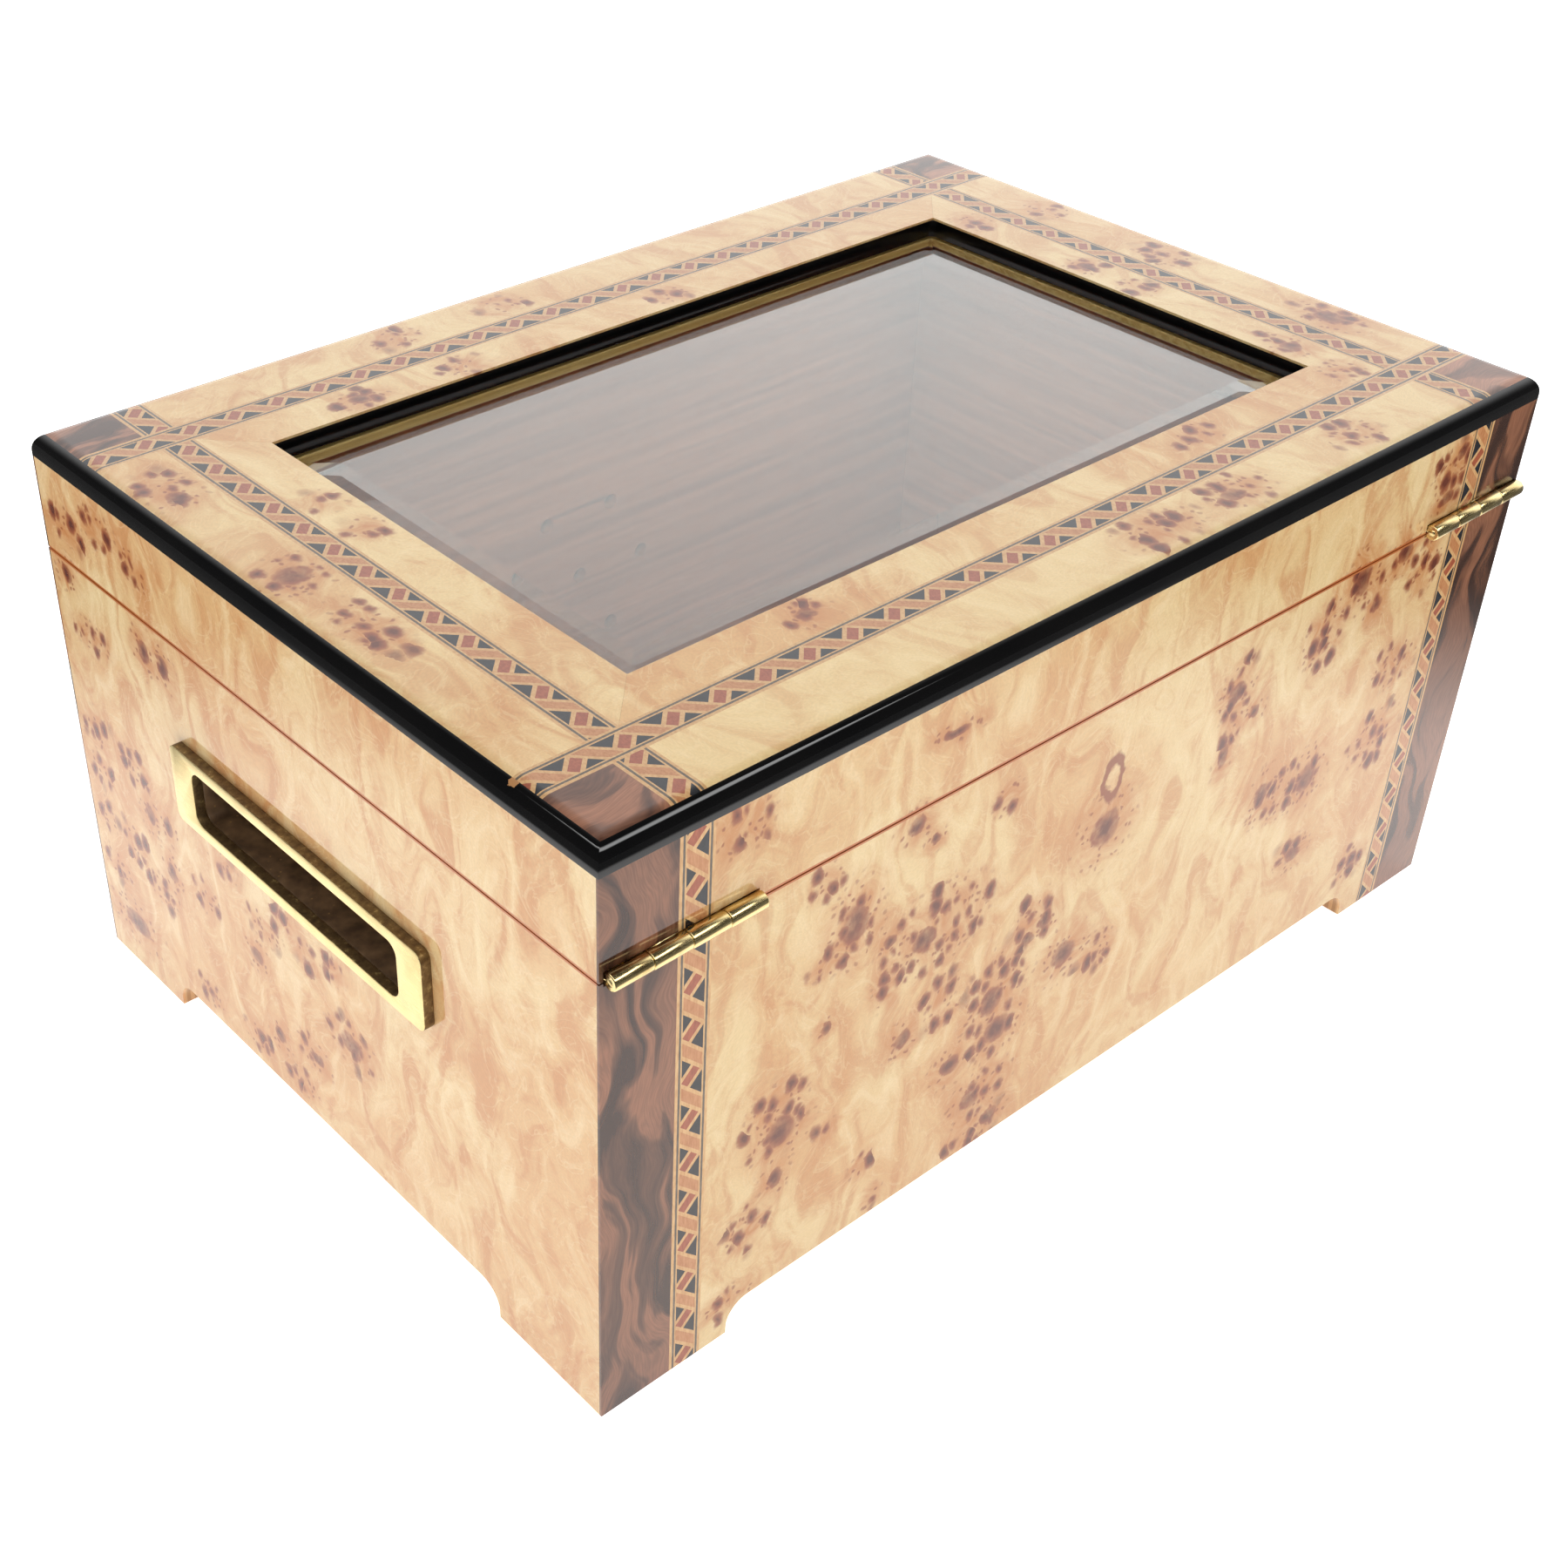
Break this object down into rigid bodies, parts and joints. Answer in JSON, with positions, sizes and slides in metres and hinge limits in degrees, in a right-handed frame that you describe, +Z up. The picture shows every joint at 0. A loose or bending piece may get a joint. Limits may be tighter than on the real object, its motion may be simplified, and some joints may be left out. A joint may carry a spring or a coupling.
{
  "type": "glass-topped chest",
  "caption": "Burl-veneered chest on bracket feet with a hinged bevelled-glass lid, marquetry bands, side grips, cedar lining and a front hygrometer.",
  "frame": {"origin": "middle of the footprint, on the surface that the feet stand on", "axes": "+X along the width, towards the right-hand side seen from the front; -Y out of the front, +Y out of the hinged back; +Z up"},
  "size_m": [0.3868, 0.2714, 0.193],
  "materials": {
    "burl_veneer": "poplar-burl veneer under clear gloss lacquer",
    "rail_wood": "plain sawn wood, veneered over",
    "plywood": "plain plywood",
    "felt": "pressed wool felt",
    "cedar": "planed, unfinished",
    "walnut": "walnut-burl veneer under clear gloss lacquer",
    "marquetry": "marquetry of light, red-brown and black woods under clear gloss lacquer",
    "black_lacquer": "ebonised and gloss lacquered",
    "glass": "clear, polished",
    "bead_wood": "satin lacquer",
    "brass": "polished and lacquered",
    "bronzed_steel": "antique-bronze finish, mottled",
    "dial_enamel": "printed cream enamel",
    "pointer_steel": "black enamel",
    "copper_coil": "plain"
  },
  "bodies": {
    "case": {"front_wall": "burl_veneer", "right_wall": "burl_veneer", "back_wall": "burl_veneer", "left_wall": "burl_veneer", "bottom_panel": "plywood", "foot_pads": "felt", "floor_lining": "cedar", "front_lining": "cedar", "right_lining": "cedar", "back_lining": "cedar", "left_lining": "cedar", "case_corner_strips": "walnut", "case_inlay_bands": "marquetry", "right_handle_frame": "brass", "right_handle_cup": "bronzed_steel", "left_handle_frame": "brass", "left_handle_cup": "bronzed_steel", "right_hinge_case_leaf": "brass", "right_hinge_pin": "brass", "left_hinge_case_leaf": "brass", "left_hinge_pin": "brass", "hinge_case_screws": "brass", "hygrometer_case": "bronzed_steel", "hygrometer_dial": "dial_enamel", "hygrometer_lens": "glass", "hygrometer_bezel": "brass"},
    "lid": {"lid_front_side": "burl_veneer", "lid_right_side": "burl_veneer", "lid_back_side": "burl_veneer", "lid_left_side": "burl_veneer", "lid_front_rail": "rail_wood", "lid_right_rail": "rail_wood", "lid_back_rail": "rail_wood", "lid_left_rail": "rail_wood", "lid_corner_strips": "walnut", "lid_side_bands": "marquetry", "lid_lining": "cedar", "lid_edging": "black_lacquer", "lid_outer_veneers": "burl_veneer", "lid_corner_squares": "walnut", "lid_long_bands": "marquetry", "lid_short_bands": "marquetry", "lid_inner_veneers": "burl_veneer", "window_lip": "black_lacquer", "glass_pane": "glass", "glazing_beads": "bead_wood", "right_hinge_lid_leaf": "brass", "left_hinge_lid_leaf": "brass", "hinge_lid_screws": "brass"},
    "pointer": {"hygrometer_pointer": "pointer_steel", "hygrometer_coil": "copper_coil"}
  },
  "joints": [
    {"name": "lid_hinge", "type": "hinge", "parent": "case", "child": "lid", "pos_m": [0, 0.1332, 0.1557], "axis": [-1, 0, 0], "range_deg": [0, 95]},
    {"name": "pointer_turn", "type": "hinge", "parent": "case", "child": "pointer", "pos_m": [0, -0.1315, 0.08], "axis": [0, -1, 0], "range_deg": [-135, 135]}
  ]
}
